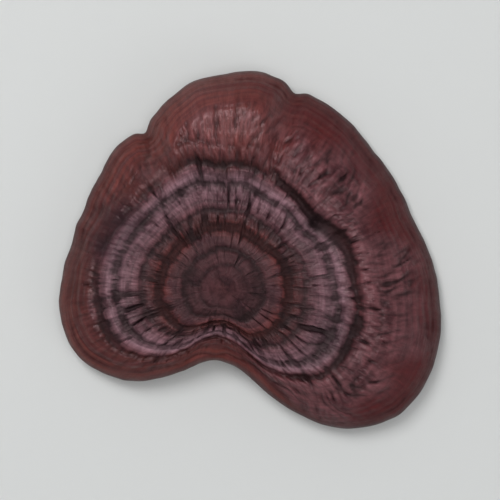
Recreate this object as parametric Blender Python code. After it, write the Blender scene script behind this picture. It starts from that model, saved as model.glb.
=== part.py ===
"""A dried reishi mushroom: one fan-shaped cap that grew in three lobes round a short, cut-off stem.

It lies on its underside, as it would on a table. The cap is a shelf with a lacquered crust on top, a blunt rolled
margin and a shallow hollow underneath. The stem stands under the back of the cap, and was cut off flat at the
height of the two places where the margin touches the table.

The mesh is a set of closed rings: out over the top from the growth centre, which the cap grew out from, round the
margin, and back in over the underside to the edge of the stem's cut face. A bearing is an angle in degrees at the
growth centre, counter-clockwise from +X, and +Y is the front, the growing margin.
"""

import bmesh
import bpy
import numpy as np

MM = 0.001

# The margin's outline: bearing in degrees, and distance from the growth centre in mm.
MARGIN_OUTLINE = (
    (-25, 51.0), (0, 49.2), (22, 46.2), (40, 46.6), (58, 47.9), (70, 48.8), (80, 49.9), (90, 48.8), (100, 47.1),
    (108, 44.4), (117, 41.4), (127, 40.4), (140, 38.3), (152, 36.9), (166, 36.6), (185, 37.8), (204, 37.0),
    (222, 31.6), (238, 23.6), (254, 17.6), (270, 16.8), (285, 20.6), (298, 31.0), (311, 43.0), (324, 49.4),
)

# Height of the margin's outermost line above the table in mm, by bearing. The cap rests at its two lowest places.
MARGIN_HEIGHT = (
    (-50, 4.6), (-22, 4.4), (3, 2.8), (22, 2.3), (40, 3.0), (66, 5.0), (92, 5.8), (114, 4.8), (134, 2.9),
    (150, 2.3), (168, 2.8), (196, 4.4), (225, 5.6), (245, 7.0), (270, 8.0), (290, 6.6),
)

# The creases between the lobes: each one's end on the margin and end inside, as x and y from the growth centre in
# mm, and how far it notches the margin, also in mm.
CREASES = (
    ((16.6, 45.6), (9.0, 19.0), 1.4),
    ((-18.7, 36.8), (-18.0, 18.0), 1.5),
)
CREASE_DEPTH = 1.4 * MM
CREASE_HALF_WIDTH = 2.1 * MM
NOTCH_HALF_ANGLE = 2.4
LOBE_EDGE_ANGLE = 7

# The top: its heights above the table, and how wide a shoulder the margin rises over.
CROWN_HEIGHT = 17.0 * MM
MIDDLE_LOBE_RISE = 0.9 * MM
SHOULDER_WIDTH = 17.0 * MM
MIDDLE_LOBE_SHOULDER_WIDTH = 11.0 * MM
SHOULDER_ROUNDNESS = 2.2

# The older, inner part of the top is a shallow dish inside a groove: bearing in degrees, and distance of the groove
# from the growth centre in mm.
GROOVE = (
    (5, 28.8), (23, 28.2), (37, 25.6), (52, 25.8), (66, 26.6), (78, 28.4), (92, 28.1), (104, 29.6), (116, 28.4),
    (132, 27.0), (157, 27.8), (185, 28.2), (208, 26.4), (228, 20.5), (246, 13.0), (270, 11.0), (288, 14.0),
    (303, 22.5), (320, 29.0), (342, 30.2),
)
DISH_DEPTH = 1.7 * MM
DISH_EDGE = 0.26

# Over the stem the top keeps a low hump, from the growth centre back to the notch.
HUMP_HEIGHT = 1.3 * MM
HUMP_RADIUS = 9.0 * MM
HUMP_BACK = np.array((0.0, -13.0)) * MM

# The blunt edge, and the hollow underneath.
LIP_ABOVE = 2.6 * MM
LIP_BELOW = 2.3 * MM
LIP_ROUNDING = 3.0 * MM
LIP_SHARE_OF_ROOM = 0.3
HOLLOW_HEIGHT = 5.8 * MM
HOLLOW_SLOPE_WIDTH = 15.0 * MM

# The cut-off stem: an oval, and the fillet it widens through into the underside.
STEM_CENTRE = np.array((0.0, -6.8)) * MM
STEM_HALF_WIDTH = 8.4 * MM
STEM_HALF_DEPTH = 6.8 * MM
STEM_FILLET = 5.0 * MM

# Points round the cap, and rings on its top, edge, underside and stem.
POINTS_ROUND = 120
OUTLINE_STEPS = 1440
TOP_RINGS = 17
EDGE_RINGS = 3
UNDERSIDE_RINGS = 9
STEM_RINGS = 4


def smooth_round(points, bearings):
    """Values at the bearings of a smooth closed curve through (bearing, value) points."""
    at, value = np.array(points, float).T
    at = np.concatenate((at[-2:] - 360, at, at[:2] + 360))
    value = np.concatenate((value[-2:], value, value[:2]))
    slope = np.gradient(value, at)
    where = (np.asarray(bearings) - at[2]) % 360 + at[2]
    i = np.searchsorted(at, where, side="right") - 1
    span = at[i + 1] - at[i]
    t = (where - at[i]) / span
    rise = (3 - 2 * t) * t**2
    start = value[i] * (1 - rise) + slope[i] * span * t * (1 - t) ** 2
    return start + value[i + 1] * rise - slope[i + 1] * span * (1 - t) * t**2


def ease(t):
    """0 below 0 and 1 above 1, with a smooth step between."""
    t = np.clip(t, 0, 1)
    return t * t * (3 - 2 * t)


def bell(distance, half_width):
    return np.exp(-((distance / half_width) ** 2))


def quarter_round(t):
    """The height of a quarter circle: 0 at its edge, and 1 from t = 1 on."""
    return np.sqrt(1 - (1 - np.clip(t, 0, 1)) ** 2)


def length(vectors):
    return np.linalg.norm(vectors, axis=-1)


def bearing_of(places):
    return np.degrees(np.arctan2(places[..., 1], places[..., 0]))


def turn_between(a, b):
    """The angle from bearing b to bearing a, from -180 to 180 degrees."""
    return (a - b + 180) % 360 - 180


def around(bearings, distances):
    angles = np.radians(bearings)
    return np.stack((np.cos(angles), np.sin(angles)), axis=-1) * np.asarray(distances)[..., None]


def margin_distance(bearings):
    """From the growth centre to the margin, with its notches."""
    distance = smooth_round(MARGIN_OUTLINE, bearings)
    for outer, _, notch in CREASES:
        turn = turn_between(bearings, bearing_of(np.array(outer)))
        distance = distance - notch * bell(turn, NOTCH_HALF_ANGLE)
    return distance * MM


def even_bearings():
    """Bearings that space the points evenly along the margin, not by angle."""
    fine = np.linspace(0, 360, OUTLINE_STEPS + 1)
    outline = around(fine, smooth_round(MARGIN_OUTLINE, fine) * MM)
    travelled = np.concatenate(([0], np.cumsum(length(np.diff(outline, axis=0)))))
    stops = travelled[-1] * np.arange(POINTS_ROUND) / POINTS_ROUND
    return np.interp(stops, travelled, fine)


def inward(bearings):
    """Unit vectors that point straight in from the margin."""
    step = 1.5
    after = around(bearings + step, smooth_round(MARGIN_OUTLINE, bearings + step))
    before = around(bearings - step, smooth_round(MARGIN_OUTLINE, bearings - step))
    along = after - before
    normal = np.stack((-along[:, 1], along[:, 0]), axis=-1)
    return normal / length(normal)[:, None]


def inset_from(margin, places):
    """Each place's distance in from the nearest part of the margin."""
    side = np.roll(margin, -1, axis=0) - margin
    away = places[:, None] - margin
    along = np.clip((away * side).sum(axis=-1) / (side**2).sum(axis=-1), 0, 1)
    return length(away - along[..., None] * side).min(axis=1)


def from_stem(places):
    """About how far each place is outside the stem."""
    offset = places - STEM_CENTRE
    across = length(offset / (STEM_HALF_WIDTH, STEM_HALF_DEPTH))
    return length(offset) * (1 - 1 / np.maximum(across, 1))


def stem_fillet(places):
    """1 at the stem's wall, falling to 0 where the fillet runs out."""
    t = 1 - np.clip(from_stem(places) / STEM_FILLET, 0, 1)
    return 1 - np.sqrt(1 - t**2)


def beside_line(places, outer, inner, overrun):
    """Each place's distance from a line, and how far along it is: 0 at the inner end and 1 at the outer."""
    line = outer - inner
    along = (places - inner) @ line / (line @ line)
    nearest = inner + line * np.clip(along, 0, overrun)[:, None]
    return length(places - nearest), along


def crease_drop(places):
    """How far the creases lower the top."""
    drop = 0
    for outer, inner, _ in CREASES:
        distance, along = beside_line(places, np.array(outer) * MM, np.array(inner) * MM, 1.2)
        drop = drop + CREASE_DEPTH * bell(distance, CREASE_HALF_WIDTH) * ease(along * 1.6)
    return drop


def middle_lobe(bearings):
    """1 on the lobe between the creases, and 0 on the others."""
    first, last = (bearing_of(np.array(crease[0])) for crease in CREASES)
    return ease((bearings - first) / LOBE_EDGE_ANGLE) * ease((last - bearings) / LOBE_EDGE_ANGLE)


def dish(places):
    """How far the top is above the crown: below it inside the groove, and above it on the middle lobe."""
    bearings = bearing_of(places)
    share = length(places) / (smooth_round(GROOVE, bearings) * MM)
    inside = 1 - ease((share - 1 + DISH_EDGE) / (2 * DISH_EDGE))
    from_hump, _ = beside_line(places, HUMP_BACK, 0 * HUMP_BACK, 1)
    hump = HUMP_HEIGHT * bell(from_hump, HUMP_RADIUS)
    return MIDDLE_LOBE_RISE * middle_lobe(bearings) * (1 - inside) - DISH_DEPTH * inside + hump


def top_height(places, margin, rounding, margin_height):
    inset = inset_from(margin, places)
    roll = quarter_round(inset / rounding)
    lobe = middle_lobe(bearing_of(places))
    shoulder = SHOULDER_WIDTH + (MIDDLE_LOBE_SHOULDER_WIDTH - SHOULDER_WIDTH) * lobe
    rise = 1 - (1 - np.clip(inset / shoulder, 0, 1)) ** SHOULDER_ROUNDNESS
    crown = CROWN_HEIGHT + dish(places) - margin_height - LIP_ABOVE
    return margin_height + LIP_ABOVE * roll + crown * rise - crease_drop(places) * roll


def underside_height(places, margin, rounding, margin_height):
    inset = inset_from(margin, places)
    lip = margin_height - LIP_BELOW * quarter_round(inset / rounding)
    hollow = lip + (HOLLOW_HEIGHT - margin_height + LIP_BELOW) * ease((inset - rounding) / HOLLOW_SLOPE_WIDTH)
    return hollow * (1 - stem_fillet(places))


def mushroom_rings():
    """Every ring of points, from the first one round the growth centre to the edge of the stem's cut face."""
    bearings = even_bearings()
    margin = around(bearings, margin_distance(bearings))
    turns = bearing_of(margin - STEM_CENTRE)
    ovals = around(turns, 1.0) * (STEM_HALF_WIDTH, STEM_HALF_DEPTH)
    stem = STEM_CENTRE + ovals
    room = length(margin - stem)
    rounding = np.minimum(LIP_ROUNDING, LIP_SHARE_OF_ROOM * room)
    height = smooth_round(MARGIN_HEIGHT, bearings) * MM
    joined_height = height * (1 - stem_fillet(margin))

    rolls = 1 - np.cos(np.pi / 2 * np.arange(1, EDGE_RINGS + 1) / EDGE_RINGS)
    edge = [margin + inward(bearings) * (rounding * roll)[:, None] for roll in rolls]
    shares = np.arange(1, TOP_RINGS + 1) / (TOP_RINGS + 1)
    top = [edge[-1] * share for share in shares] + edge[::-1]

    reach = length(edge[-1] - stem)
    fillet = np.minimum(STEM_FILLET, 0.8 * reach)
    fillet_starts = stem + (edge[-1] - stem) * (fillet / reach)[:, None]
    under = [edge[-1] + (fillet_starts - edge[-1]) * k / UNDERSIDE_RINGS for k in range(1, UNDERSIDE_RINGS + 1)]
    closing = 1 - np.sin(np.pi / 2 * np.arange(1, STEM_RINGS + 1) / STEM_RINGS)
    wall = [stem + (fillet_starts - stem) * share for share in closing]

    rings = [(ring, top_height(ring, margin, rounding, joined_height)) for ring in top]
    rings += [(margin, joined_height)]
    rings += [(ring, underside_height(ring, margin, rounding, height)) for ring in edge + under + wall]
    return [np.column_stack(ring) for ring in rings]


def growth_centre_height():
    centre = np.zeros((1, 2))
    margin = around(np.arange(360), margin_distance(np.arange(360)))
    lip = smooth_round(MARGIN_HEIGHT, 90) * MM
    return top_height(centre, margin, LIP_ROUNDING, lip)[0]


def build_mushroom():
    rings = mushroom_rings()
    points = np.concatenate(rings)
    middle = (points.max(axis=0) + points.min(axis=0)) / 2 * (1, 1, 0)
    shape = bmesh.new()
    centre = shape.verts.new((0, 0, growth_centre_height()) - middle)
    rows = [[shape.verts.new(point) for point in ring - middle] for ring in rings]
    for k in range(POINTS_ROUND):
        after = (k + 1) % POINTS_ROUND
        shape.faces.new((centre, rows[0][k], rows[0][after]))
        for upper, lower in zip(rows, rows[1:]):
            shape.faces.new((upper[k], lower[k], lower[after], upper[after]))
    shape.faces.new(rows[-1][::-1])
    bmesh.ops.recalc_face_normals(shape, faces=shape.faces)
    mesh = bpy.data.meshes.new("reishi_mushroom")
    shape.to_mesh(mesh)
    shape.free()
    mesh.shade_smooth()
    mesh.set_sharp_from_angle(angle=np.radians(50))
    mushroom = bpy.data.objects.new("reishi_mushroom", mesh)
    bpy.context.scene.collection.objects.link(mushroom)
    return mushroom


def lacquered_crust():
    material = bpy.data.materials.new("lacquered_crust")
    material.use_nodes = True
    shader = material.node_tree.nodes["Principled BSDF"]
    shader.inputs["Base Color"].default_value = (0.105, 0.027, 0.021, 1)
    shader.inputs["Roughness"].default_value = 0.4
    shader.inputs["Metallic"].default_value = 0.0
    return material


def main():
    for leftover in list(bpy.data.objects):
        bpy.data.objects.remove(leftover)
    mushroom = build_mushroom()
    mushroom.data.materials.append(lacquered_crust())


main()
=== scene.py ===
"""A dried reishi mushroom lying on a pale table, seen from straight above.

The CAD solid gives the place, size and outline. This script grows the same shape again on a much finer mesh,
with the growth zones, folds, wrinkles and edge lines that the crust really has, and gives it its finish.

Shapes are worked out round the growth centre, above the stem. A bearing is an angle in degrees there,
counter-clockwise from +X, and +Y is the front, the growing margin. "zone" is the distance from the growth
centre as a share of the distance to the groove, which parts the old inner cap from the year's outer growth.
"""

import bpy
import numpy as np
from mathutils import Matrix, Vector


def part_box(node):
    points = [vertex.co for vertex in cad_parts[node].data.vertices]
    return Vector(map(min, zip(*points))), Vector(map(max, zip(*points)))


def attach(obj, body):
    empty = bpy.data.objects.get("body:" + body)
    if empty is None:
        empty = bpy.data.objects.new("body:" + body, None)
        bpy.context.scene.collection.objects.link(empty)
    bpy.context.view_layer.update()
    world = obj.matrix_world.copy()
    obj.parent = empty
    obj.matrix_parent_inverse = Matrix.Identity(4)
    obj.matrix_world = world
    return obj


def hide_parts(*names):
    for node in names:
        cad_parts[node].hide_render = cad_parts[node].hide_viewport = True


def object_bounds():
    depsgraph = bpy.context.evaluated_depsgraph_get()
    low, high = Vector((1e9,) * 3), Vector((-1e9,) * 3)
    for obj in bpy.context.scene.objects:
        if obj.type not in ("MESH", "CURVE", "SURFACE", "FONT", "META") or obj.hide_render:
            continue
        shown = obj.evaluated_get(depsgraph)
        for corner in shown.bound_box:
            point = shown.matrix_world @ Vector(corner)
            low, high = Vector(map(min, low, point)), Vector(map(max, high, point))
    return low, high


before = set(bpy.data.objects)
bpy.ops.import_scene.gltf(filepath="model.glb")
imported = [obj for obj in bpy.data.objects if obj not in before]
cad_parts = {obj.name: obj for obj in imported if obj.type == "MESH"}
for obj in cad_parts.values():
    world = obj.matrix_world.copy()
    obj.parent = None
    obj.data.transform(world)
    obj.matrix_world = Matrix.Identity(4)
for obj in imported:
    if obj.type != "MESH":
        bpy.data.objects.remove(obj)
cad_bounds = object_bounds()

MM = 0.001
NODE = "reishi_mushroom"

# ---- The shape that part.py gives the solid ------------------------------------------------------

# The margin's outline: bearing in degrees, and distance from the growth centre in mm.
MARGIN_OUTLINE = (
    (-25, 51.0), (0, 49.2), (22, 46.2), (40, 46.6), (58, 47.9), (70, 48.8), (80, 49.9), (90, 48.8),
    (100, 47.1), (108, 44.4), (117, 41.4), (127, 40.4), (140, 38.3), (152, 36.9), (166, 36.6), (185, 37.8),
    (204, 37.0), (222, 31.6), (238, 23.6), (254, 17.6), (270, 16.8), (285, 20.6), (298, 31.0), (311, 43.0),
    (324, 49.4),
)

# Height of the margin's outermost line above the table in mm, by bearing.
MARGIN_HEIGHT = (
    (-50, 4.6), (-22, 4.4), (3, 2.8), (22, 2.3), (40, 3.0), (66, 5.0), (92, 5.8), (114, 4.8), (134, 2.9),
    (150, 2.3), (168, 2.8), (196, 4.4), (225, 5.6), (245, 7.0), (270, 8.0), (290, 6.6),
)

# The creases between the lobes: each one's end on the margin and end inside, as x and y from the growth
# centre in mm, and how far it notches the margin, also in mm.
CREASES = (
    ((16.6, 45.6), (9.0, 19.0), 1.4),
    ((-18.7, 36.8), (-18.0, 18.0), 1.5),
)
CREASE_DEPTH = 1.4 * MM
CREASE_HALF_WIDTH = 2.1 * MM
NOTCH_HALF_ANGLE = 2.4
LOBE_EDGE_ANGLE = 7

# The top's heights and its shoulders. The crust's relief stands on this crown, up to the solid's 17.0 mm.
CROWN_HEIGHT = 16.6 * MM
MIDDLE_LOBE_RISE = 0.9 * MM
SHOULDER_WIDTH = 17.0 * MM
MIDDLE_LOBE_SHOULDER_WIDTH = 11.0 * MM
SHOULDER_ROUNDNESS = 2.2
DISH_DEPTH = 1.7 * MM
DISH_EDGE = 0.26
HUMP_HEIGHT = 1.3 * MM
HUMP_RADIUS = 9.0 * MM
HUMP_BACK = np.array((0.0, -13.0)) * MM

# The blunt edge, and the hollow underneath.
LIP_ABOVE = 2.6 * MM
LIP_BELOW = 2.3 * MM
LIP_ROUNDING = 3.0 * MM
LIP_SHARE_OF_ROOM = 0.3
HOLLOW_HEIGHT = 5.8 * MM
HOLLOW_SLOPE_WIDTH = 15.0 * MM

# The cut-off stem: an oval, a little inside the solid's, and the fillet it widens through into the underside.
STEM_CENTRE = np.array((0.0, -6.8)) * MM
STEM_HALF_WIDTH = 8.4 * MM
STEM_HALF_DEPTH = 6.8 * MM
STEM_SHARE_OF_SOLID = 0.985
STEM_FILLET = 5.0 * MM

# ---- What the crust adds to it -------------------------------------------------------------------

# The groove round the old inner cap: bearing in degrees, and distance from the growth centre in mm. On the
# middle lobe it lies a little further in than the edge of the solid's dish.
GROOVE = (
    (5, 28.8), (23, 28.2), (37, 25.6), (52, 25.8), (66, 25.9), (78, 27.2), (92, 26.8), (104, 28.2),
    (116, 27.4), (132, 26.6), (157, 27.8), (185, 28.2), (208, 26.4), (228, 20.5), (246, 13.0), (270, 11.0),
    (288, 14.0), (303, 22.5), (320, 29.0), (342, 30.2),
)

# Bands of blocks, like rows of cobbles round the growth centre: from and to zone, blocks round the cap, then
# how high the band stands and how deep the cracks between its blocks are, both in mm.
BANDS = (
    (0.11, 0.19, 13, 0.22, 0.12), (0.225, 0.32, 21, 0.34, 0.22), (0.37, 0.495, 31, 0.55, 0.36),
    (0.57, 0.64, 37, 0.42, 0.40), (0.685, 0.828, 45, 0.76, 0.72), (0.885, 0.985, 57, 0.66, 0.36),
    (1.05, 1.155, 55, 0.46, 0.55),
)
# One more, which only the middle lobe has.
LOBE_BAND = (1.19, 1.30, 61, 0.20, 0.24)
BAND_SOFTNESS = 0.045
INNER_CAP_DROP = 0.30 * MM

# The groove and the red ring: their zone, half width as a zone, and depth.
GROOVE_BOTTOM = (1.012, 0.042, 0.50 * MM)
RED_RING = (0.535, 0.030, 0.30 * MM)

# Radius of the round ring that zone 1 would be near the growth centre, in mm.
CENTRE_RING_RADIUS = 24
CRACKS = 34

# Bearings where the wrinkled right lobe begins and ends, and the widths over which the wrinkles fade in.
RIGHT_LOBE = (-75, 68)
RIGHT_LOBE_FADES = (20, 8)

# The folds just above the lip: how far in from the margin, half width and depth, in mm. Then the ripples
# beside them: their spacing and height in mm, and how far in from the margin they begin and end.
LIP_FOLDS = ((2.1, 0.4, 0.42), (3.4, 0.3, 0.14))
RIPPLE_SPACING = 1.45
RIPPLE_HEIGHT = 0.085
RIPPLES = (3.2, 9.0)

# How far in from the margin, and out from the stem, the crust's relief takes to reach its full height.
RELIEF_FADE = 2.2 * MM
RELIEF_FADE_AT_STEM = 2.0 * MM
CUT_FACE_DIP = 0.12 * MM

# Small furrows on the crust: both ends as x and y in mm, then depth and half width in mm.
FURROWS = (
    ((-1.8, 40.5), (-1.3, 32.5), 0.30, 0.55), ((3.6, 44.5), (2.7, 36.0), 0.18, 0.50),
    ((-9.5, 41.0), (-7.5, 34.5), 0.16, 0.50), ((10.5, 43.5), (8.4, 36.0), 0.20, 0.55),
    ((-18.0, 37.5), (-16.8, 29.8), 0.50, 0.60), ((20.5, 14.6), (11.5, 25.8), 0.50, 0.80),
    ((20.5, 14.6), (26.5, 9.5), 0.40, 0.80),
)

# Single pits and pimples: x and y in mm, height in mm and radius in mm.
SPOTS = (
    (-8.4, 16.8, 0.55, 1.2), (20.5, 14.6, -0.60, 1.6), (-3.9, 12.2, 0.25, 1.0), (13.6, 18.8, 0.20, 1.4),
    (-13.0, 10.5, -0.25, 1.3), (5.2, -6.5, -0.22, 1.5), (31.0, 2.0, 0.22, 1.8), (-26.5, -6.0, 0.20, 1.6),
)

# Patches where the crust is mauve, partly dust and partly painted sheen, and where it is nearly black: x, y
# and radius in mm.
DUST_AND_SHEEN_PATCHES = (
    (3.5, 41.5, 8.0), (-5.0, 40.0, 6.5), (10.0, 38.0, 5.5), (-15.5, 26.5, 4.0), (-29.0, 4.0, 3.5),
)
DARK_PATCHES = ((20.5, 14.6, 3.0), (-22.5, 15.5, 4.6), (-27.0, 9.0, 3.5), (24.0, -11.0, 4.0))

# Points round the cap, which are spaced out along its outline as measured in fine steps.
POINTS_ROUND = 640
OUTLINE_STEPS = 7200

# Rings on the top, where the inner ones follow the zones, and on the edge, underside, stem and cut face.
TOP_RINGS = 114
INNER_RINGS = 75
LAST_INNER_ZONE = 1.18
EDGE_RINGS = 6
UNDERSIDE_RINGS = 16
STEM_RINGS = 7
CUT_RINGS = 5

# Which ring, counted from 0 at the top's middle, is the margin, and which is the last one on the edge.
MARGIN_RING = TOP_RINGS + EDGE_RINGS
LAST_EDGE_RING = MARGIN_RING + EDGE_RINGS

# Rows of a noise table before it repeats, and how far out along the radius one unit of grain is.
NOISE_ROWS = 64
GRAIN_LENGTH = 130 * MM

# Faces that meet at more than this angle, in degrees, keep their edge sharp.
SHARP_ANGLE = 60

# The bake map's two squares: low corner and side.
TOP_SQUARE = (0.005, 0.66)
UNDERSIDE_SQUARE = (0.675, 0.32)

# ---- Colours -------------------------------------------------------------------------------------

# The inner cap's colour by zone, where the mauve of the raised bands is partly a painted sheen, and the dark
# at zone 1.02, in the groove, partly painted shade. A colour ramp ends at 1, so the zones, which go past it,
# are scaled to fit.
ZONE_RAMP_SCALE = 0.8
INNER_CAP_COLOURS = (
    (0.00, (0.076, 0.025, 0.028)),
    (0.18, (0.066, 0.024, 0.028)),
    (0.34, (0.056, 0.020, 0.023)),
    (0.44, (0.066, 0.024, 0.027)),
    (0.535, (0.115, 0.026, 0.024)),
    (0.62, (0.058, 0.017, 0.018)),
    (0.76, (0.098, 0.047, 0.057)),
    (0.92, (0.146, 0.078, 0.094)),
    (1.02, (0.076, 0.018, 0.021)),
    (1.10, (0.104, 0.042, 0.048)),
)
DARK_MOTTLE = (0.034, 0.011, 0.015)
NEARLY_BLACK = (0.016, 0.006, 0.010)

# The outer growth and its rim: light and dark streaks, the painted shade they darken to on the right, and a
# mauve that is partly dust and partly painted sheen.
LIGHT_MAROON = (0.176, 0.038, 0.033)
DARK_MAROON = (0.094, 0.018, 0.018)
WARM_MAROON = (0.138, 0.025, 0.018)
SHADED_RIGHT_MAROON = (0.072, 0.006, 0.008)
MAUVE_DUST_AND_SHEEN = (0.185, 0.084, 0.090)
LIGHT_RIM = (0.142, 0.029, 0.022)
DARK_RIM = (0.084, 0.014, 0.013)
SHADED_RIGHT_RIM = (0.060, 0.002, 0.004)
CRUST_REFLECTION_TINT = (1.0, 0.72, 0.75, 1.0)

LIGHT_PORES = (0.42, 0.27, 0.15)
DARK_PORES = (0.27, 0.155, 0.08)
PORE_EDGE = (0.115, 0.045, 0.028)
LIGHT_FLESH = (0.30, 0.165, 0.085)
DARK_FLESH = (0.17, 0.085, 0.045)

# ---- The setting ---------------------------------------------------------------------------------

FLOOR_RADIUS = 0.6
COVE_RADIUS = 0.4
WALL_HEIGHT = 0.9
TABLE_COLOUR = (0.66, 0.67, 0.665)
TABLE_ROUGHNESS = 0.7

# Soft lamps: name, place, side and power. And the dim light from all round.
SOFTBOXES = (
    ("key", (-0.22, 0.30, 0.74), 0.30, 3.0),
    ("overhead", (0.05, 0.0, 1.40), 1.10, 7.2),
    ("fill", (0.50, -0.40, 0.50), 0.4, 0.5),
)
ROOM_LIGHT = (0.95, 0.97, 1.0, 1.0)
ROOM_STRENGTH = 0.12

# The camera: how wide a strip it sees at the mushroom's middle, and its lens and sensor in mm.
FRAME_WIDTH = 0.113
LENS = 180
SENSOR = 36


def smooth_round(points, bearings):
    """Values at the bearings of a smooth closed curve through (bearing, value) points."""
    at, value = np.array(points, float).T
    at = np.concatenate((at[-2:] - 360, at, at[:2] + 360))
    value = np.concatenate((value[-2:], value, value[:2]))
    slope = np.gradient(value, at)
    where = (np.asarray(bearings) - at[2]) % 360 + at[2]
    i = np.searchsorted(at, where, side="right") - 1
    span = at[i + 1] - at[i]
    t = (where - at[i]) / span
    rise = (3 - 2 * t) * t**2
    start = value[i] * (1 - rise) + slope[i] * span * t * (1 - t) ** 2
    return start + value[i + 1] * rise - slope[i + 1] * span * (1 - t) * t**2


def ease(t):
    """0 below 0 and 1 above 1, with a smooth step between."""
    t = np.clip(t, 0, 1)
    return t * t * (3 - 2 * t)


def between(value, low, high, soft):
    """1 from low to high, falling to 0 over the width soft on both sides."""
    return ease((value - low) / soft + 0.5) * ease((high - value) / soft + 0.5)


def bell(distance, half_width):
    return np.exp(-((distance / half_width) ** 2))


def quarter_round(t):
    """The height of a quarter circle: 0 at its edge, and 1 from t = 1 on."""
    return np.sqrt(1 - (1 - np.clip(t, 0, 1)) ** 2)


def length(vectors):
    return np.linalg.norm(vectors, axis=-1)


def bearing_of(places):
    return np.degrees(np.arctan2(places[..., 1], places[..., 0]))


def turn_between(a, b):
    """The angle from bearing b to bearing a, from -180 to 180 degrees."""
    return (a - b + 180) % 360 - 180


def around(bearings, distances):
    angles = np.radians(bearings)
    return np.stack((np.cos(angles), np.sin(angles)), axis=-1) * np.asarray(distances)[..., None]


def noise(u, v, columns, seed):
    """Smooth noise of about -1 to 1, one bump to a cell, that repeats every so many columns along u."""
    turns = np.random.default_rng(seed).uniform(0, 2 * np.pi, (NOISE_ROWS, columns))
    column, row = np.floor(u), np.floor(v)
    total = 0
    for right in (0, 1):
        for up in (0, 1):
            x, y = u - column - right, v - row - up
            turn = turns[((row + up) % NOISE_ROWS).astype(int), ((column + right) % columns).astype(int)]
            total = total + fade(x) * fade(y) * (np.cos(turn) * x + np.sin(turn) * y)
    return 1.7 * total


def fade(x):
    """1 at x = 0 and 0 at x = 1 or -1, level at all three."""
    t = 1 - np.abs(x)
    return t**3 * (t * (6 * t - 15) + 10)


def round_noise(bearings, distance, count, cell, seed):
    """Noise with count cells round the growth centre, each cell long along the radius."""
    return noise(np.asarray(bearings) * count / 360, distance / cell, count, seed)


# ---- The outline and the base shape --------------------------------------------------------------


def margin_distance(bearings):
    """From the growth centre to the margin, with its notches."""
    distance = smooth_round(MARGIN_OUTLINE, bearings)
    for outer, _, notch in CREASES:
        turn = turn_between(bearings, bearing_of(np.array(outer)))
        distance = distance - notch * bell(turn, NOTCH_HALF_ANGLE)
    return distance * MM


def rough_margin_distance(bearings):
    """The same, with the small waves of a real edge, which only come in from the outline."""
    waves = 0.30 * round_noise(bearings, 0.5, 34, 1, 11) + 0.14 * round_noise(bearings, 0.5, 90, 1, 12)
    return margin_distance(bearings) - (0.22 + waves) * MM * ease((margin_distance(bearings) / MM - 16) / 10)


def even_bearings():
    """Bearings that space the points evenly along the margin, not by angle."""
    fine = np.linspace(0, 360, OUTLINE_STEPS + 1)
    outline = around(fine, smooth_round(MARGIN_OUTLINE, fine) * MM)
    travelled = np.concatenate(([0], np.cumsum(length(np.diff(outline, axis=0)))))
    stops = travelled[-1] * np.arange(POINTS_ROUND) / POINTS_ROUND
    return np.interp(stops, travelled, fine)


def inward(bearings):
    """Unit vectors that point straight in from the margin."""
    step = 1.5
    after = around(bearings + step, smooth_round(MARGIN_OUTLINE, bearings + step))
    before = around(bearings - step, smooth_round(MARGIN_OUTLINE, bearings - step))
    along = after - before
    normal = np.stack((-along[:, 1], along[:, 0]), axis=-1)
    return normal / length(normal)[:, None]


def inset_from(margin, places):
    """Each place's distance in from the nearest part of the margin."""
    side = np.roll(margin, -1, axis=0) - margin
    away = places[:, None] - margin
    along = np.clip((away * side).sum(axis=-1) / (side**2).sum(axis=-1), 0, 1)
    return length(away - along[..., None] * side).min(axis=1)


def from_stem(places):
    """About how far each place is outside the stem."""
    offset = places - STEM_CENTRE
    across = length(offset / (STEM_HALF_WIDTH, STEM_HALF_DEPTH))
    return length(offset) * (1 - 1 / np.maximum(across, 1))


def stem_fillet(places):
    """1 at the stem's wall, falling to 0 where the fillet runs out."""
    t = 1 - np.clip(from_stem(places) / STEM_FILLET, 0, 1)
    return 1 - np.sqrt(1 - t**2)


def beside_line(places, outer, inner, overrun):
    """Each place's distance from a line, and how far along it is: 0 at the inner end and 1 at the outer."""
    line = outer - inner
    along = (places - inner) @ line / (line @ line)
    nearest = inner + line * np.clip(along, 0, overrun)[:, None]
    return length(places - nearest), along


def crease_drop(places):
    """How far the creases lower the top."""
    drop = 0
    for outer, inner, _ in CREASES:
        distance, along = beside_line(places, np.array(outer) * MM, np.array(inner) * MM, 1.2)
        drop = drop + CREASE_DEPTH * bell(distance, CREASE_HALF_WIDTH) * ease(along * 1.6)
    return drop


def middle_lobe(bearings):
    """1 on the lobe between the creases, and 0 on the others."""
    first, last = (bearing_of(np.array(crease[0])) for crease in CREASES)
    return ease((bearings - first) / LOBE_EDGE_ANGLE) * ease((last - bearings) / LOBE_EDGE_ANGLE)


def zone_of(places):
    """The zone: the rings are round near the growth centre, and take the groove's shape further out."""
    groove = smooth_round(GROOVE, bearing_of(places)) * MM
    outwards = ease(length(places) / groove)
    return length(places) / (CENTRE_RING_RADIUS * MM * (1 - outwards) + groove * outwards)


def dish(places):
    """How far the top is above the crown: below it inside the groove, and above it on the middle lobe."""
    share = length(places) / (smooth_round(GROOVE, bearing_of(places)) * MM)
    inside = 1 - ease((share - 1 + DISH_EDGE) / (2 * DISH_EDGE))
    from_hump, _ = beside_line(places, HUMP_BACK, 0 * HUMP_BACK, 1)
    hump = HUMP_HEIGHT * bell(from_hump, HUMP_RADIUS)
    return MIDDLE_LOBE_RISE * middle_lobe(bearing_of(places)) * (1 - inside) - DISH_DEPTH * inside + hump


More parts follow.
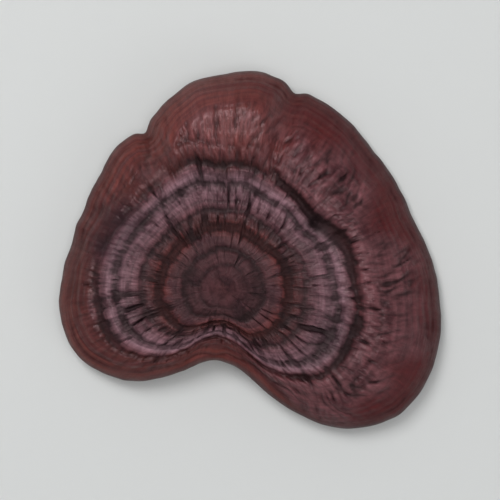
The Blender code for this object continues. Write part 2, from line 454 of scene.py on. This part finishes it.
def top_height(places, inset, rounding, margin_height):
    roll = quarter_round(inset / rounding)
    lobe = middle_lobe(bearing_of(places))
    shoulder = SHOULDER_WIDTH + (MIDDLE_LOBE_SHOULDER_WIDTH - SHOULDER_WIDTH) * lobe
    rise = 1 - (1 - np.clip(inset / shoulder, 0, 1)) ** SHOULDER_ROUNDNESS
    crown = CROWN_HEIGHT + dish(places) - margin_height - LIP_ABOVE
    return margin_height + LIP_ABOVE * roll + crown * rise - crease_drop(places) * roll


def underside_height(places, inset, rounding, margin_height):
    lip = margin_height - LIP_BELOW * quarter_round(inset / rounding)
    hollow = lip + (HOLLOW_HEIGHT - margin_height + LIP_BELOW) * ease((inset - rounding) / HOLLOW_SLOPE_WIDTH)
    return hollow * (1 - stem_fillet(places))


# ---- Relief of the crust -------------------------------------------------------------------------


def share_of_growth(places):
    """0 in the groove and 1 at the margin, along the radius."""
    groove = smooth_round(GROOVE, bearing_of(places)) * MM
    return (length(places) - groove) / (margin_distance(bearing_of(places)) - groove)


def blocks(bearing, distance, count, seed):
    """A row of blocks round the cap: how far across its block each place is, and the block's own height."""
    draw = np.random.default_rng(seed)
    shift = draw.uniform(-0.3, 0.3, count)
    height = draw.uniform(-1, 1, count)
    u = bearing * count / 360 + 0.45 * round_noise(bearing, distance, 20, 9 * MM, seed + 1)
    column = np.floor(u).astype(int)
    column = column - (u < column + shift[column % count])
    start = column + shift[column % count]
    width = column + 1 + shift[(column + 1) % count] - start
    return 2 * (u - start) / width - 1, height[column % count]


def growth_bands(bearing, distance, zone):
    """The bands of the inner cap and the groove round it, wavy and broken, as growth is."""
    slow = 0.020 * round_noise(bearing, distance, 14, 9 * MM, 21)
    zone = zone + (slow + 0.010 * round_noise(bearing, distance, 46, 5 * MM, 22)) * ease(zone / 0.3)
    height = 0
    rows = [(*band, 1) for band in BANDS] + [(*LOBE_BAND, middle_lobe(bearing))]
    for row, (inner, outer, count, rise, crack, share) in enumerate(rows):
        across, own = blocks(bearing, distance, count, 200 + 10 * row)
        scallop = 0.014 * (1 - across**2) * ease(zone / 0.3)
        band = between(zone - scallop, inner, outer, BAND_SOFTNESS)
        strong = np.clip(0.7 + 1.0 * round_noise(bearing, 0.5, 11, 1, 300 + row), 0.08, 1.5)
        rounded = quarter_round(1.5 * (1 - np.abs(across)))
        top = rise * (0.75 + 0.25 * own) - crack * strong * (1 - rounded)
        height = height + share * band * top
    at, half_width, depth = RED_RING
    height = height * MM - depth * bell(zone - at, half_width)
    at, half_width, depth = GROOVE_BOTTOM
    deep = np.clip(0.8 + 1.1 * round_noise(bearing, 0.5, 13, 1, 24), 0.15, 1.5)
    lower = INNER_CAP_DROP * ease((1.03 - zone) / 0.1) * ease((zone - 0.1) / 0.2)
    return height - lower - depth * deep * bell(zone - at, half_width)


def cracks(bearing, distance, zone):
    """Radial cracks, at random places, that run through several bands."""
    draw = np.random.default_rng(401)
    drop = 0
    for _ in range(CRACKS):
        at, lean = draw.uniform(0, 360), draw.uniform(-9, 9)
        start, run = draw.uniform(0.40, 1.0), draw.uniform(0.15, 0.40)
        depth, half_width = draw.uniform(0.2, 0.5) * MM, draw.uniform(0.28, 0.5) * MM
        off = np.radians(turn_between(bearing, at + lean * (zone - start))) * distance
        drop = drop + depth * bell(off, half_width) * between(zone, start, start + run, 0.08)
    return -drop


def pleats(value):
    """Noise turned into rounded pleats with sharp creases between them, from -0.5 to 0.5."""
    return np.clip(np.abs(value) * 1.7, 0, 1) ** 0.7 - 0.5


def right_lobe(bearings):
    """1 on the right lobe, which is wrinkled most, and 0 on the others."""
    first, last = RIGHT_LOBE
    fade_in, fade_out = RIGHT_LOBE_FADES
    return ease(turn_between(last, bearings) / fade_out) * ease((bearings - first) / fade_in)


def wrinkled_growth(bearing, zone, growth, right):
    """Where the outer growth is wrinkled: 1 near the groove, fading out towards the smooth margin."""
    reach = 0.58 + 0.13 * right + 0.30 * round_noise(bearing, 0.5, 26, 1, 36)
    return ease((zone - 0.99) / 0.08) * (1 - ease((growth - reach + 0.2) / 0.4))


def radial_wrinkles(bearing, distance, zone, growth):
    """Wrinkles along the radius: small ones on the bands, and long ones on the lobes."""
    right, middle = right_lobe(bearing), middle_lobe(bearing)
    bend = 0.9 * round_noise(bearing, distance, 10, 13 * MM, 31)
    many = noise(bearing * 90 / 360 + 1.6 * bend, distance / (7 * MM), 90, 33)
    some = noise(bearing * 130 / 360 + 2.2 * bend, distance / (4 * MM), 130, 32)
    fine = noise(bearing * 180 / 360 + 3 * bend, distance / (4.5 * MM), 180, 34)
    finest = noise(bearing * 260 / 360 + 4 * bend, distance / (3.5 * MM), 260, 39)
    patchy = 0.75 + 0.8 * round_noise(bearing, distance, 17, 6 * MM, 35)
    on_bands = patchy * ease((zone - 0.30) / 0.3) * (1 - ease((zone - 0.98) / 0.1))
    inner = on_bands * (0.22 * pleats(some) + 0.13 * fine + 0.08 * finest)

    patchy = 0.85 + 0.7 * round_noise(bearing, distance, 19, 8 * MM, 38)
    wrinkled = wrinkled_growth(bearing, zone, growth, right) * patchy
    pleated = (0.14 + 0.30 * right) * pleats(many) + (0.13 + 0.22 * right) * pleats(some)
    outer = wrinkled * (pleated + 0.16 * fine + 0.10 * finest)
    panels = noise(bearing * 38 / 360 + 0.4 * bend, distance / (16 * MM), 38, 37)
    broad = 0.22 * middle * pleats(panels) * ease((zone - 1.1) / 0.1) * (1 - ease((growth - 0.65) / 0.35))
    everywhere = 0.075 * (fine + finest) * ease((zone - 1) / 0.1) * (1 - ease((growth - 0.9) / 0.1))
    return (inner + outer + broad + everywhere) * MM


def furrows_and_spots(places):
    height = 0
    for outer, inner, depth, half_width in FURROWS:
        distance, _ = beside_line(places, np.array(outer) * MM, np.array(inner) * MM, 1)
        height = height - depth * MM * bell(distance, half_width * MM)
    for x, y, up, radius in SPOTS:
        height = height + up * MM * bell(length(places - np.array((x, y)) * MM), radius * MM)
    return height


def purple_share(places):
    """How far the crust is purple and not maroon: on the inner cap, and where the right lobe is wrinkled."""
    bearing, distance, zone = bearing_of(places), length(places), zone_of(places)
    right = right_lobe(bearing)
    wrinkled = wrinkled_growth(bearing, zone, share_of_growth(places), right)
    ragged = 0.05 * round_noise(bearing, distance, 60, 4 * MM, 81)
    ragged = ragged + 0.04 * round_noise(bearing, distance, 24, 4 * MM, 82)
    return np.maximum(1 - ease((zone + ragged - 0.99) / 0.07), (0.15 + 0.6 * right) * wrinkled)


def in_patches(places, patches):
    """1 in the middle of each patch, fading out past its radius."""
    return np.clip(sum(bell(length(places - np.array((x, y)) * MM), r * MM) for x, y, r in patches), 0, 1)


def edge_lines(bearing, distance, inset):
    """Fine lines along the margin where growth paused, and the fold that the lip makes."""
    along = inset / MM + 0.9 * round_noise(bearing, distance, 24, 9 * MM, 52)
    patchy = 0.6 + 0.7 * round_noise(bearing, distance, 20, 5 * MM, 53)
    ripples = RIPPLE_HEIGHT * np.cos(2 * np.pi * along / RIPPLE_SPACING)
    ripples = ripples * between(along, *RIPPLES, 3) * patchy
    folds = sum(depth * bell(along - at, half_width) for at, half_width, depth in LIP_FOLDS)
    return (ripples - folds * ease(distance / (20 * MM))) * MM


def top_relief(places, inset):
    """The crust's own relief, in metres above the base shape."""
    bearing, distance, zone = bearing_of(places), length(places), zone_of(places)
    height = growth_bands(bearing, distance, zone) + cracks(bearing, distance, zone)
    height = height + radial_wrinkles(bearing, distance, zone, share_of_growth(places))
    height = height + edge_lines(bearing, distance, inset)
    grain = 0.04 * round_noise(bearing, distance, 260, 1.1 * MM, 54) * ease(distance / (12 * MM))
    return height + furrows_and_spots(places) + grain * MM


def swelling(places, inset):
    """Broad, soft lumps: they change the shape, but not the crust's colour."""
    bearing, distance, zone = bearing_of(places), length(places), zone_of(places)
    outer = ease((zone - 0.9) / 0.3) * ease(inset / (6 * MM))
    outer = outer * 0.42 * round_noise(bearing, distance, 15, 13 * MM, 51)
    inner = (1 - ease((zone - 0.6) / 0.3)) * ease(zone / 0.25)
    inner = inner * 0.25 * round_noise(bearing, distance, 9, 6 * MM, 55)
    return (outer + inner) * MM


def underside_relief(places, inset):
    bearing, distance = bearing_of(places), length(places)
    lumps = 0.22 * round_noise(bearing, distance, 18, 8 * MM, 61)
    streaks = 0.07 * round_noise(bearing, distance, 90, 14 * MM, 62)
    pores = 0.05 * round_noise(bearing, distance, 220, 1.1 * MM, 63)
    edge = -0.18 * bell(inset / MM - 4.5, 0.8)
    return (lumps + streaks + pores) * MM * ease((inset - 3 * MM) / (4 * MM)) + edge * MM


# ---- The mesh ------------------------------------------------------------------------------------


def top_places(outer):
    """The top's rings, as places: they follow the zones inside, and then even out towards the outer one."""
    steps = np.linspace(0, 1, 400)[:, None, None] * outer
    zones = zone_of(steps.reshape(-1, 2)).reshape(len(steps), -1)
    share = np.linspace(0, 1, len(steps))
    wanted = LAST_INNER_ZONE * np.arange(1, INNER_RINGS + 1) / INNER_RINGS
    most = np.minimum(1, 0.9 * zones[-1] / LAST_INNER_ZONE)
    inner = np.array([np.interp(wanted * limit, zones[:, k], share) for k, limit in enumerate(most)]).T
    rest = np.arange(1, TOP_RINGS - INNER_RINGS + 1)[:, None] / (TOP_RINGS - INNER_RINGS + 1)
    shares = np.concatenate((inner, inner[-1] + (1 - inner[-1]) * rest))
    return [outer * row[:, None] for row in shares]


def mushroom_rings():
    """Every ring as (places, heights, relief, inset), from the growth centre to inside the cut face."""
    bearings = even_bearings()
    margin = around(bearings, rough_margin_distance(bearings))
    turns = bearing_of(margin - STEM_CENTRE)
    ovals = around(turns, 1 + 0.03 * round_noise(turns, 0.5, 9, 1, 71))
    stem = STEM_CENTRE + ovals * (STEM_HALF_WIDTH, STEM_HALF_DEPTH) * STEM_SHARE_OF_SOLID
    room = length(margin - stem)
    rounding = np.minimum(LIP_ROUNDING, LIP_SHARE_OF_ROOM * room)
    height = smooth_round(MARGIN_HEIGHT, bearings) * MM
    joined_height = height * (1 - stem_fillet(margin))

    rolls = 1 - np.cos(np.pi / 2 * np.arange(1, EDGE_RINGS + 1) / EDGE_RINGS)
    edge = [margin + inward(bearings) * (rounding * roll)[:, None] for roll in rolls]
    top = top_places(edge[-1]) + edge[::-1]

    reach = length(edge[-1] - stem)
    fillet = np.minimum(STEM_FILLET, 0.8 * reach)
    fillet_starts = stem + (edge[-1] - stem) * (fillet / reach)[:, None]
    across = (fillet_starts - edge[-1]) / UNDERSIDE_RINGS
    under = [edge[-1] + across * k for k in range(1, UNDERSIDE_RINGS + 1)]
    closing = 1 - np.sin(np.pi / 2 * np.arange(1, STEM_RINGS + 1) / STEM_RINGS)
    wall = [stem + (fillet_starts - stem) * share for share in closing]

    rings = []
    for ring in top:
        inset = inset_from(margin, ring)
        relief = top_relief(ring, inset) * ease(inset / RELIEF_FADE)
        base = top_height(ring, inset, rounding, joined_height) + swelling(ring, inset)
        rings.append((ring, base + relief, relief, inset))
    rings.append((margin, joined_height, np.zeros(POINTS_ROUND), np.zeros(POINTS_ROUND)))
    for ring in edge + under + wall:
        inset = inset_from(margin, ring)
        relief = underside_relief(ring, inset) * ease(from_stem(ring) / RELIEF_FADE_AT_STEM)
        base = underside_height(ring, inset, rounding, height)
        rings.append((ring, np.maximum(base + relief, 0), relief, inset))
    for k in range(1, CUT_RINGS + 1):
        share = 1 - k / (CUT_RINGS + 1)
        places = STEM_CENTRE + (stem - STEM_CENTRE) * share
        dip = np.full(POINTS_ROUND, CUT_FACE_DIP * ease((1 - share) * 4))
        rings.append((places, dip, dip, inset_from(margin, places)))
    return rings


def ring_faces(count):
    """Quads between each ring and the next, and fans round the middle points at both ends."""
    k = np.arange(POINTS_ROUND)
    after = (k + 1) % POINTS_ROUND
    faces = [(0, a, b) for a, b in zip(1 + k, 1 + after)]
    for ring in range(count - 1):
        upper, lower = 1 + ring * POINTS_ROUND, 1 + (ring + 1) * POINTS_ROUND
        faces += zip(upper + k, lower + k, lower + after, upper + after)
    last, end = 1 + (count - 1) * POINTS_ROUND, 1 + count * POINTS_ROUND
    faces += [(end, b, a) for a, b in zip(last + k, last + after)]
    return [tuple(int(i) for i in face) for face in faces]


def disc(places, points, centre):
    """The rings laid flat round their centre, each point as far out as it is along the surface."""
    travelled = np.cumsum([length(points[0] - centre), *length(np.diff(points, axis=0))], axis=0)
    return np.array([around(bearing_of(ring), far) for ring, far in zip(places, travelled)])


def fitted(flat, low, size):
    """The flat points, moved and scaled evenly into a square."""
    corner = flat.min(axis=(0, 1))
    return low + size * (flat - corner) / (flat.max(axis=(0, 1)) - corner).max()


def write_bake_map(mesh, rings, points):
    """One map without overlaps: the top and the margin as a big disc, the underside as a small one beside."""
    seam = LAST_EDGE_RING
    places = np.array([ring[0] for ring in rings])
    points = np.array(points)
    top = fitted(disc(places[: seam + 1], points[: seam + 1], points[0].mean(axis=0)), *TOP_SQUARE)
    below = disc(places[:seam - 1:-1] - STEM_CENTRE, points[:seam - 1:-1], points[-1].mean(axis=0))
    below = fitted(below, *UNDERSIDE_SQUARE)[::-1]
    vertex = np.empty(len(mesh.loops), np.int32)
    mesh.loops.foreach_get("vertex_index", vertex)
    face_of_loop = np.repeat(np.arange(len(mesh.polygons)), [len(face.vertices) for face in mesh.polygons])
    under = face_of_loop // POINTS_ROUND > seam
    top_map = np.concatenate((top[:1].mean(axis=1), top.reshape(-1, 2)))
    below_map = np.concatenate((below.reshape(-1, 2), below[-1:].mean(axis=1)))
    skipped = 1 + seam * POINTS_ROUND
    on_top = top_map[np.minimum(vertex, len(top_map) - 1)]
    from_below = below_map[np.maximum(vertex - skipped, 0)]
    layer = mesh.uv_layers.new(name="OFBake")
    layer.data.foreach_set("uv", np.where(under[:, None], from_below, on_top).astype(np.float32).ravel())


def per_vertex(rings_of_values):
    """All rings' values in one row, with one more at each end for the middles of the top and the cut face."""
    return np.concatenate((rings_of_values[0][:1], *rings_of_values, rings_of_values[-1][-1:]))


def write_attributes(mesh, rings):
    """What the crust's material has to know at each point of the mesh."""
    places, _, relief, inset = (per_vertex(values) for values in zip(*rings))
    purple = purple_share(places)
    purple[1 + MARGIN_RING * POINTS_ROUND :] = 0
    numbers = {
        "zone": zone_of(places),
        "relief_mm": relief / MM,
        "inset_mm": inset / MM,
        "purple": purple,
        "dust_and_sheen": in_patches(places, DUST_AND_SHEEN_PATCHES),
        "dark": in_patches(places, DARK_PATCHES),
        "right_mm": places[:, 0] / MM,
    }
    for name, values in numbers.items():
        attribute = mesh.attributes.new(name, "FLOAT", "POINT")
        attribute.data.foreach_set("value", values.astype(np.float32))

    angle = np.radians(bearing_of(places))
    grain = np.stack((np.cos(angle), np.sin(angle), length(places) / GRAIN_LENGTH), axis=-1)
    attribute = mesh.attributes.new("grain", "FLOAT_VECTOR", "POINT")
    attribute.data.foreach_set("vector", grain.astype(np.float32).ravel())


def set_materials(mesh):
    """Crust on the top, edge and stem, pores on the underside, and cut flesh on the stem's end."""
    for material in (crust_material(), pore_material(), cut_material()):
        mesh.materials.append(material)
    rows = np.arange(len(mesh.polygons)) // POINTS_ROUND
    slots = np.zeros(len(rows), np.int32)
    first_row = LAST_EDGE_RING + 1
    slots[(rows > first_row) & (rows <= first_row + UNDERSIDE_RINGS)] = 1
    slots[rows > first_row + UNDERSIDE_RINGS + STEM_RINGS] = 2
    mesh.polygons.foreach_set("material_index", slots)


def build_mushroom():
    """The mushroom as one piece, with the middle of its outline over the middle of the solid."""
    rings = mushroom_rings()
    outline = rings[MARGIN_RING][0]
    low, high = (np.array(corner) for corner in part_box(NODE))
    shift = (low + high)[:2] / 2 - (outline.max(axis=0) + outline.min(axis=0)) / 2
    points = [np.column_stack((places + shift, heights + low[2])) for places, heights, _, _ in rings]
    vertices = np.concatenate([[points[0].mean(axis=0)], *points, [points[-1].mean(axis=0)]])

    mesh = bpy.data.meshes.new("reishi")
    mesh.from_pydata(vertices.tolist(), [], ring_faces(len(rings)))
    mesh.validate()
    write_bake_map(mesh, rings, points)
    write_attributes(mesh, rings)
    set_materials(mesh)
    mesh.shade_smooth()
    mesh.set_sharp_from_angle(angle=np.radians(SHARP_ANGLE))

    piece = bpy.data.objects.new("reishi_cap", mesh)
    bpy.context.scene.collection.objects.link(piece)
    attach(piece, "root")
    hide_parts(NODE)


# ---- Materials -----------------------------------------------------------------------------------


class Nodes:
    """A material's node tree, with short calls for the nodes that this scene uses."""

    def __init__(self, name):
        self.material = bpy.data.materials.new(name)
        self.material.use_nodes = True
        self.tree = self.material.node_tree
        self.shader = self.tree.nodes["Principled BSDF"]

    def add(self, kind, **settings):
        node = self.tree.nodes.new(kind)
        for name, value in settings.items():
            setattr(node, name, value)
        return node

    def plug(self, source, socket):
        if isinstance(source, bpy.types.NodeSocket):
            self.tree.links.new(source, socket)
        else:
            socket.default_value = source

    def attribute(self, name, output="Fac"):
        return self.add("ShaderNodeAttribute", attribute_name=name).outputs[output]

    def noise(self, vector, scale, detail=3.0, roughness=0.55, distortion=0.0):
        node = self.add("ShaderNodeTexNoise")
        self.plug(vector, node.inputs["Vector"])
        node.inputs["Scale"].default_value = scale
        node.inputs["Detail"].default_value = detail
        node.inputs["Roughness"].default_value = roughness
        node.inputs["Distortion"].default_value = distortion
        return node.outputs["Fac"]

    def along_rings(self, distance, grain, spread):
        """A place for noise in lines parallel to the margin, which change slowly along it."""
        parts = self.add("ShaderNodeSeparateXYZ")
        self.plug(grain, parts.inputs[0])
        joined = self.add("ShaderNodeCombineXYZ")
        self.plug(distance, joined.inputs[0])
        for i in (0, 1):
            self.plug(self.math("MULTIPLY", parts.outputs[i], spread), joined.inputs[1 + i])
        return joined.outputs[0]

    def math(self, operation, a, b):
        node = self.add("ShaderNodeMath", operation=operation)
        self.plug(a, node.inputs[0])
        self.plug(b, node.inputs[1])
        return node.outputs[0]

    def product(self, first, *others):
        for other in others:
            first = self.math("MULTIPLY", first, other)
        return first

    def total(self, first, *others):
        for other in others:
            first = self.math("ADD", first, other)
        return first

    def ramp(self, fac, stops):
        """A colour ramp through (position, colour) stops."""
        node = self.add("ShaderNodeValToRGB")
        elements = node.color_ramp.elements
        elements.remove(elements[1])
        elements[0].position, elements[0].color = stops[0][0], rgba(stops[0][1])
        for position, colour in stops[1:]:
            elements.new(position).color = rgba(colour)
        self.plug(fac, node.inputs[0])
        return node.outputs["Color"]

    def remap(self, value, low, high, to_low=0.0, to_high=1.0):
        node = self.add("ShaderNodeMapRange", interpolation_type="SMOOTHSTEP")
        for socket, given in zip(node.inputs, (value, low, high, to_low, to_high)):
            self.plug(given, socket)
        return node.outputs[0]

    def mix(self, fac, a, b):
        node = self.add("ShaderNodeMix", data_type="RGBA")
        factor, first, second = (node.inputs[i] for i in (0, 6, 7))
        self.plug(fac, factor)
        self.plug(rgba(a), first)
        self.plug(rgba(b), second)
        return node.outputs[2]

    def shaded(self, colour, shade):
        """The colour, made lighter or darker by a number."""
        node = self.add("ShaderNodeVectorMath", operation="SCALE")
        self.plug(colour, node.inputs[0])
        self.plug(shade, node.inputs["Scale"])
        return node.outputs[0]

    def bump(self, height, distance, strength):
        node = self.add("ShaderNodeBump")
        node.inputs["Strength"].default_value = strength
        node.inputs["Distance"].default_value = distance
        self.plug(height, node.inputs["Height"])
        self.plug(node.outputs["Normal"], self.shader.inputs["Normal"])

    def set(self, **inputs):
        for name, value in inputs.items():
            self.plug(value, self.shader.inputs[name.replace("_", " ")])


def rgba(colour):
    if isinstance(colour, tuple) and len(colour) == 3:
        return (*colour, 1.0)
    if isinstance(colour, float):
        return (colour, colour, colour, 1.0)
    return colour


def crust_material():
    n = Nodes("lacquered_crust")
    zone = n.attribute("zone")
    relief = n.attribute("relief_mm")
    inset = n.attribute("inset_mm")
    purple = n.attribute("purple")
    grain = n.attribute("grain", "Vector")
    place = n.add("ShaderNodeTexCoord").outputs["Object"]
    streaks = n.noise(grain, 15.0, 4.0, 0.6)
    fibres = n.noise(grain, 52.0, 3.0, 0.6, 0.4)
    rim_lines = n.noise(n.along_rings(n.product(inset, 1.1), grain, 1.6), 1.0, 3.0, 0.55)
    growth_lines = n.noise(n.along_rings(n.product(zone, 26.0), grain, 1.4), 1.0, 3.0, 0.6)
    blotches = n.noise(place, 95.0, 3.0, 0.55)
    mottles = n.noise(place, 210.0, 3.0, 0.6, 0.6)
    speckle = n.noise(place, 900.0, 3.0, 0.6)

    # The inner cap: mauve and purple zones, the mauve partly a painted sheen and the dark in the groove
    # partly painted shade, with darker and lighter mottles.
    stops = [(ZONE_RAMP_SCALE * at, colour) for at, colour in INNER_CAP_COLOURS]
    inner = n.ramp(n.product(zone, ZONE_RAMP_SCALE), stops)
    inner = n.mix(n.remap(mottles, 0.50, 0.36, 0.0, 0.75), inner, DARK_MOTTLE)
    inner = n.shaded(inner, n.remap(mottles, 0.50, 0.68, 1.0, 1.30))

    # The outer growth: streaky maroon, with painted shade darker to the right, and mauve on its ridges and
    # patches that is partly dust and partly painted sheen.
    maroon = n.mix(n.remap(streaks, 0.35, 0.65), LIGHT_MAROON, DARK_MAROON)
    maroon = n.mix(n.remap(blotches, 0.42, 0.68), maroon, WARM_MAROON)
    # Painted shade: the outer growth gets darker towards the right.
    shade_to_right = n.remap(n.attribute("right_mm"), -8.0, 32.0, 0.0, 0.85)
    maroon = n.mix(shade_to_right, maroon, SHADED_RIGHT_MAROON)
    # Partly dust and partly painted sheen: mauve on the ridges and in patches.
    dust_and_sheen_mask = n.remap(n.noise(grain, 9.0, 3.0, 0.6), 0.45, 0.65, 0.0, 0.35)
    dust_and_sheen_on_ridges = n.product(dust_and_sheen_mask, n.remap(relief, -0.1, 0.2))
    dust_and_sheen_patch = n.product(n.attribute("dust_and_sheen"), n.remap(blotches, 0.35, 0.60, 1.0, 0.35))
    maroon = n.mix(n.math("MAXIMUM", dust_and_sheen_on_ridges, dust_and_sheen_patch), maroon, MAUVE_DUST_AND_SHEEN)
    rim = n.mix(n.remap(rim_lines, 0.38, 0.62), LIGHT_RIM, DARK_RIM)
    # Painted shade: the rim also gets darker towards the right.
    rim = n.mix(shade_to_right, rim, SHADED_RIGHT_RIM)
    maroon = n.mix(n.remap(inset, 3.0, 15.0, 0.85, 0.0), maroon, rim)

    # Painted shade: darker on the very edge, where it turns away, and beside the groove.
    maroon = n.shaded(maroon, n.remap(inset, 0.2, 1.6, 0.55, 1.0))
    maroon = n.shaded(maroon, n.remap(zone, 1.06, 1.32, 0.34, 1.0))
    colour = n.mix(purple, maroon, inner)
    colour = n.mix(n.product(n.attribute("dark"), 0.8), colour, NEARLY_BLACK)

    # Painted shade in the valleys and painted highlights on the crests, and fibres and growth lines show as
    # fine threads.
    painted_valley_shade = n.remap(relief, -0.36, 0.10, n.remap(inset, 3.0, 10.0, 0.60, 0.22), 1.0)
    painted_crest_highlight = n.remap(relief, 0.08, 0.42, 1.0, 1.4)
    calmer = n.product(n.remap(inset, 2.0, 14.0, 0.3, 1.0), n.remap(purple, 0.0, 1.0, 1.0, 0.6))
    threads = n.math("SUBTRACT", n.remap(fibres, 0.30, 0.62, 0.58, 1.20), 1.0)
    threads = n.total(1.0, n.product(threads, calmer))
    inner_lines = n.mix(purple, 1.0, n.remap(growth_lines, 0.36, 0.60, 0.74, 1.20))

    gloss = n.remap(n.total(streaks, n.product(speckle, 0.6)), 0.5, 1.1, 0.26, 0.42)
    rough_rim = n.remap(inset, 1.0, 9.0, 0.22, 0.0)
    rough_valley = n.remap(relief, -0.55, -0.15, 0.35, 0.0)
    n.set(
        Base_Color=n.shaded(colour, n.product(painted_valley_shade, painted_crest_highlight, threads, inner_lines)),
        Roughness=n.total(gloss, rough_rim, rough_valley),
        Specular_IOR_Level=0.35,
        Specular_Tint=CRUST_REFLECTION_TINT,
    )
    ridges = n.product(fibres, n.remap(inset, 2.0, 14.0, 0.25, 1.0))
    near_rim = n.product(rim_lines, n.remap(inset, 3.0, 12.0, 0.5, 0.0))
    inside = n.product(growth_lines, purple, 0.7)
    n.bump(n.total(ridges, n.product(speckle, 0.3), near_rim, inside), 0.35 * MM, 0.8)
    return n.material


def pore_material():
    n = Nodes("pore_layer")
    place = n.add("ShaderNodeTexCoord").outputs["Object"]
    pores = n.add("ShaderNodeTexVoronoi")
    pores.inputs["Scale"].default_value = 2600.0
    n.plug(place, pores.inputs["Vector"])
    patches = n.noise(place, 60.0, 4.0, 0.6)
    tan = n.mix(n.remap(patches, 0.35, 0.65), LIGHT_PORES, DARK_PORES)
    tan = n.mix(n.remap(n.attribute("inset_mm"), 4.0, 11.0), PORE_EDGE, tan)
    # Painted shade in the pore holes, which get darker towards their middles.
    painted_pore_shade = n.remap(pores.outputs["Distance"], 0.1, 0.5, 0.55, 1.0)
    n.set(Base_Color=n.shaded(tan, painted_pore_shade), Roughness=0.85, Specular_IOR_Level=0.25)
    n.bump(pores.outputs["Distance"], 0.15 * MM, 0.7)
    return n.material


def cut_material():
    n = Nodes("cut_flesh")
    place = n.add("ShaderNodeTexCoord").outputs["Object"]
    fibres = n.noise(place, 700.0, 4.0, 0.65)
    flesh = n.mix(n.remap(fibres, 0.35, 0.65), LIGHT_FLESH, DARK_FLESH)
    n.set(Base_Color=flesh, Roughness=0.9, Specular_IOR_Level=0.2)
    n.bump(fibres, 0.3 * MM, 0.7)
    return n.material


def table_material():
    n = Nodes("pale_table")
    n.set(Base_Color=rgba(TABLE_COLOUR), Roughness=TABLE_ROUGHNESS)
    return n.material


# ---- The setting ---------------------------------------------------------------------------------


def build_floor():
    """A round pale table that curves up into a wall on every side."""
    turns = np.radians(np.arange(0, 360, 3))
    bends = np.radians(np.linspace(0, 90, 13))
    profile = [(FLOOR_RADIUS / 6, 0.0), (FLOOR_RADIUS / 2, 0.0)]
    profile += [(FLOOR_RADIUS + COVE_RADIUS * np.sin(b), COVE_RADIUS * (1 - np.cos(b))) for b in bends]
    profile += [(FLOOR_RADIUS + COVE_RADIUS, WALL_HEIGHT)]
    count = len(turns)
    points = [(0, 0, 0)] + [(r * np.cos(t), r * np.sin(t), z) for r, z in profile for t in turns]
    faces = [(0, 1 + k, 1 + (k + 1) % count) for k in range(count)]
    for ring in range(len(profile) - 1):
        inner, outer = 1 + ring * count, 1 + (ring + 1) * count
        for k in range(count):
            after = (k + 1) % count
            faces.append((inner + k, outer + k, outer + after, inner + after))
    mesh = bpy.data.meshes.new("table")
    mesh.from_pydata([tuple(map(float, p)) for p in points], [], faces)
    mesh.shade_smooth()
    mesh.materials.append(table_material())
    floor = bpy.data.objects.new("table", mesh)
    bpy.context.scene.collection.objects.link(floor)


def aim(thing, target):
    """Turns an object's -Z axis to the target."""
    thing.rotation_euler = (Vector(target) - thing.location).to_track_quat("-Z", "Y").to_euler()


def softbox(name, location, size, power, target):
    data = bpy.data.lights.new(name, "AREA")
    data.shape = "SQUARE"
    data.size = size
    data.energy = power
    light = bpy.data.objects.new(name, data)
    light.location = location
    aim(light, target)
    bpy.context.scene.collection.objects.link(light)


def build_camera(target):
    data = bpy.data.cameras.new("camera")
    data.lens = LENS
    data.sensor_width = SENSOR
    camera = bpy.data.objects.new("camera", data)
    camera.location = (target[0], target[1], target[2] + FRAME_WIDTH * LENS / SENSOR)
    camera.rotation_euler = (0, 0, 0)
    bpy.context.scene.collection.objects.link(camera)
    bpy.context.scene.camera = camera


def build_setting():
    low, high = cad_bounds
    middle = [(a + b) / 2 for a, b in zip(low, high)]
    build_floor()
    for name, location, size, power in SOFTBOXES:
        softbox(name, location, size, power, middle)
    world = bpy.data.worlds.new("studio")
    world.use_nodes = True
    background = world.node_tree.nodes["Background"]
    background.inputs["Color"].default_value = ROOM_LIGHT
    background.inputs["Strength"].default_value = ROOM_STRENGTH
    bpy.context.scene.world = world
    bpy.context.scene.view_settings.view_transform = "Standard"
    build_camera(middle)


build_mushroom()
build_setting()
